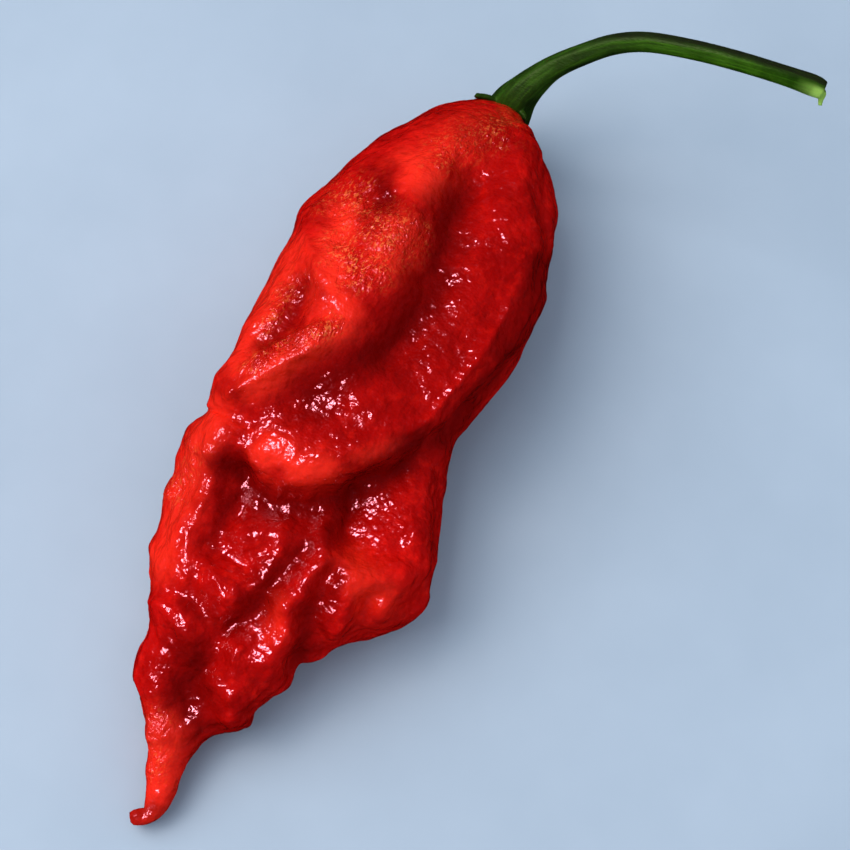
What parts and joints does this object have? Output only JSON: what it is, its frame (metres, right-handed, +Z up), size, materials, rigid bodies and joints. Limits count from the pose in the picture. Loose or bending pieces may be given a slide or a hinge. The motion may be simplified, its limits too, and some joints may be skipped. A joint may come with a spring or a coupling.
{
  "type": "chilli pepper",
  "caption": "Ripe superhot chilli pepper lying on its belly: a wrinkled, lobed red pod that narrows to a hooked tail, with a green calyx and a curved green stem",
  "frame": {"origin": "the middle of the bounding box in plan, on the surface that the pepper lies on", "axes": "+Y along the pod from the tip of its tail to its stem end, +Z up from the surface, +X to the side that the stem bends to"},
  "size_m": [0.0442, 0.0928, 0.0234],
  "materials": {
    "pod_skin": "thin waxy fruit skin, glossy and finely wrinkled",
    "stem_green": "fresh plant stem, satin and ribbed lengthwise"
  },
  "bodies": {
    "root": {"pod": "pod_skin", "stem_with_calyx": "stem_green"}
  },
  "joints": []
}
